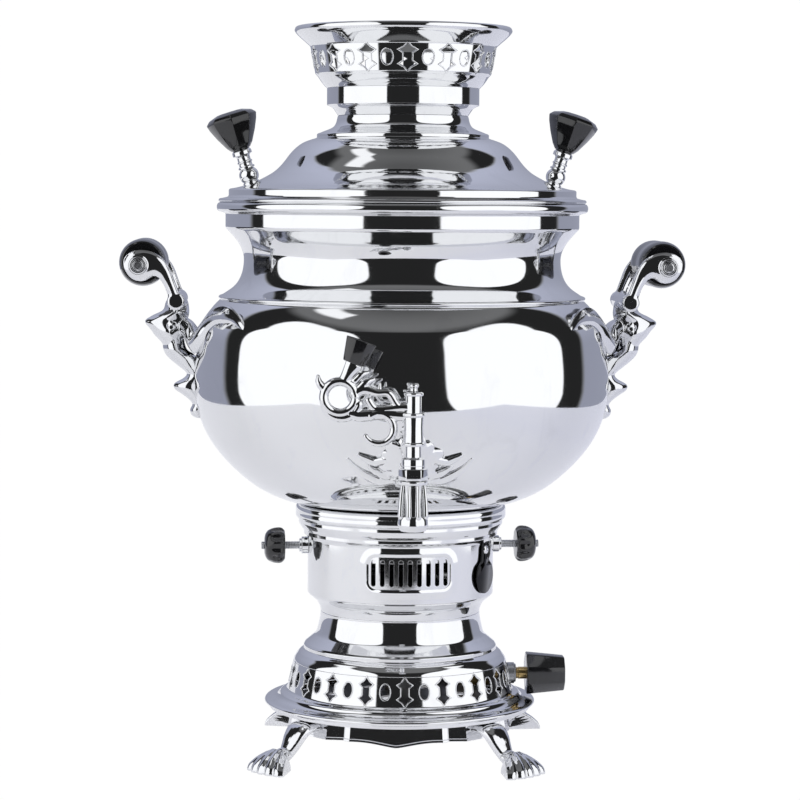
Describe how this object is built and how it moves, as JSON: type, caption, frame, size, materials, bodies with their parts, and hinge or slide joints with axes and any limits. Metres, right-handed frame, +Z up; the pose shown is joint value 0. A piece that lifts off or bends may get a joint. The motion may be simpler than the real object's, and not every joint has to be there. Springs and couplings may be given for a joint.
{
  "type": "gas samovar with tap",
  "caption": "Chrome bellied samovar on a pierced footed base, with side roll handles, a scrolled tap key, black knobs and a pierced teapot crown.",
  "frame": {"origin": "on the floor under the vertical axis of the tank, where the paws stand", "axes": "+Z up; the tap faces -Y; the two grips lie along Y at +X and -X"},
  "size_m": [0.3558, 0.2932, 0.4602],
  "materials": {
    "chrome": "polished nickel-chrome plating",
    "chrome_cast": "plated casting, polished high spots",
    "zinc_grey": "satin",
    "brass": "satin",
    "bakelite": "glossy, slightly scuffed",
    "blued_steel": "dark polished",
    "steel": "mill finish",
    "cast_iron": "as cast",
    "gasket": "matte"
  },
  "bodies": {
    "base": {"stand": "chrome_cast", "leg_front_left": "chrome_cast", "leg_front_right": "chrome_cast", "leg_rear_left": "chrome_cast", "leg_rear_right": "chrome_cast", "leg_screws": "steel", "base_plate": "steel", "gallery_base": "chrome", "pedestal": "chrome", "burner_housing": "chrome", "gas_valve_body": "brass", "valve_bushing": "zinc_grey", "hose_tail": "brass", "jet_holder": "brass", "mixing_tube": "steel", "burner_bracket": "steel", "burner_head": "cast_iron", "burner_cap": "cast_iron", "port_rivet": "steel", "left_clamp_boss": "chrome", "right_clamp_boss": "chrome"},
    "tank": {"tank_foot": "chrome", "tank_skirt": "chrome", "tank_shell": "chrome", "flue": "chrome", "left_handle": "chrome_cast", "left_grip": "bakelite", "left_grip_rod": "steel", "left_grip_nuts": "steel", "right_handle": "chrome_cast", "right_grip": "bakelite", "right_grip_rod": "steel", "right_grip_nuts": "steel", "handle_bolts": "steel", "tap_body": "chrome_cast", "tap_rosette": "chrome_cast", "tap_gasket": "gasket", "tap_nut": "steel", "spout": "chrome_cast"},
    "lid": {"lid_shell": "chrome", "left_lid_stem": "chrome_cast", "left_lid_knob": "bakelite", "right_lid_stem": "chrome_cast", "right_lid_knob": "bakelite", "lid_nuts": "steel"},
    "crown": {"crown_neck": "chrome", "crown_bowl": "chrome"},
    "key": {"tap_plug": "brass", "tap_key": "chrome_cast", "tap_finial": "chrome_cast", "tap_key_knob": "bakelite"},
    "valve": {"valve_spindle": "brass", "valve_knob": "bakelite"},
    "cover": {"port_cover": "blued_steel"},
    "left_rod": {"left_clamp_rod": "steel"},
    "left_knob": {"left_clamp_knob": "bakelite"},
    "right_rod": {"right_clamp_rod": "steel"},
    "right_knob": {"right_clamp_knob": "bakelite"}
  },
  "joints": [
    {"name": "tank_lift", "type": "slide", "parent": "base", "child": "tank", "axis": [0, 0, 1], "range_m": [0, 0.06]},
    {"name": "lid_lift", "type": "slide", "parent": "tank", "child": "lid", "axis": [0, 0, 1], "range_m": [0, 0.08]},
    {"name": "crown_lift", "type": "slide", "parent": "lid", "child": "crown", "axis": [0, 0, 1], "range_m": [0, 0.06]},
    {"name": "tap_turn", "type": "hinge", "parent": "tank", "child": "key", "pos_m": [0, -0.152, 0.2094], "axis": [0, 0, 1], "range_deg": [0, 90]},
    {"name": "valve_turn", "type": "hinge", "parent": "base", "child": "valve", "pos_m": [0.0741, 0, 0.0488], "axis": [1, 0, 0], "range_deg": [0, 90]},
    {"name": "cover_swing", "type": "hinge", "parent": "base", "child": "cover", "pos_m": [0.05168, -0.03068, 0.1326], "axis": [0.8599, -0.5105, 0], "range_deg": [0, 60]},
    {"name": "left_rod_travel", "type": "slide", "parent": "base", "child": "left_rod", "axis": [-0.9983, -0.0576, 0], "range_m": [0, 0.004]},
    {"name": "left_knob_turn", "type": "hinge", "parent": "left_rod", "child": "left_knob", "pos_m": [-0.07907, -0.00456, 0.132], "axis": [-0.9983, -0.0576, 0], "range_deg": [0, 1440]},
    {"name": "right_rod_travel", "type": "slide", "parent": "base", "child": "right_rod", "axis": [0.9983, 0.0576, 0], "range_m": [0, 0.004]},
    {"name": "right_knob_turn", "type": "hinge", "parent": "right_rod", "child": "right_knob", "pos_m": [0.07907, 0.00456, 0.132], "axis": [0.9983, 0.0576, 0], "range_deg": [0, 1440]}
  ],
  "couplings": [
    {"joint": "left_rod_travel", "follows": "left_knob_turn", "m_per_rad": 0.00015915},
    {"joint": "right_rod_travel", "follows": "right_knob_turn", "m_per_rad": 0.00015915}
  ]
}
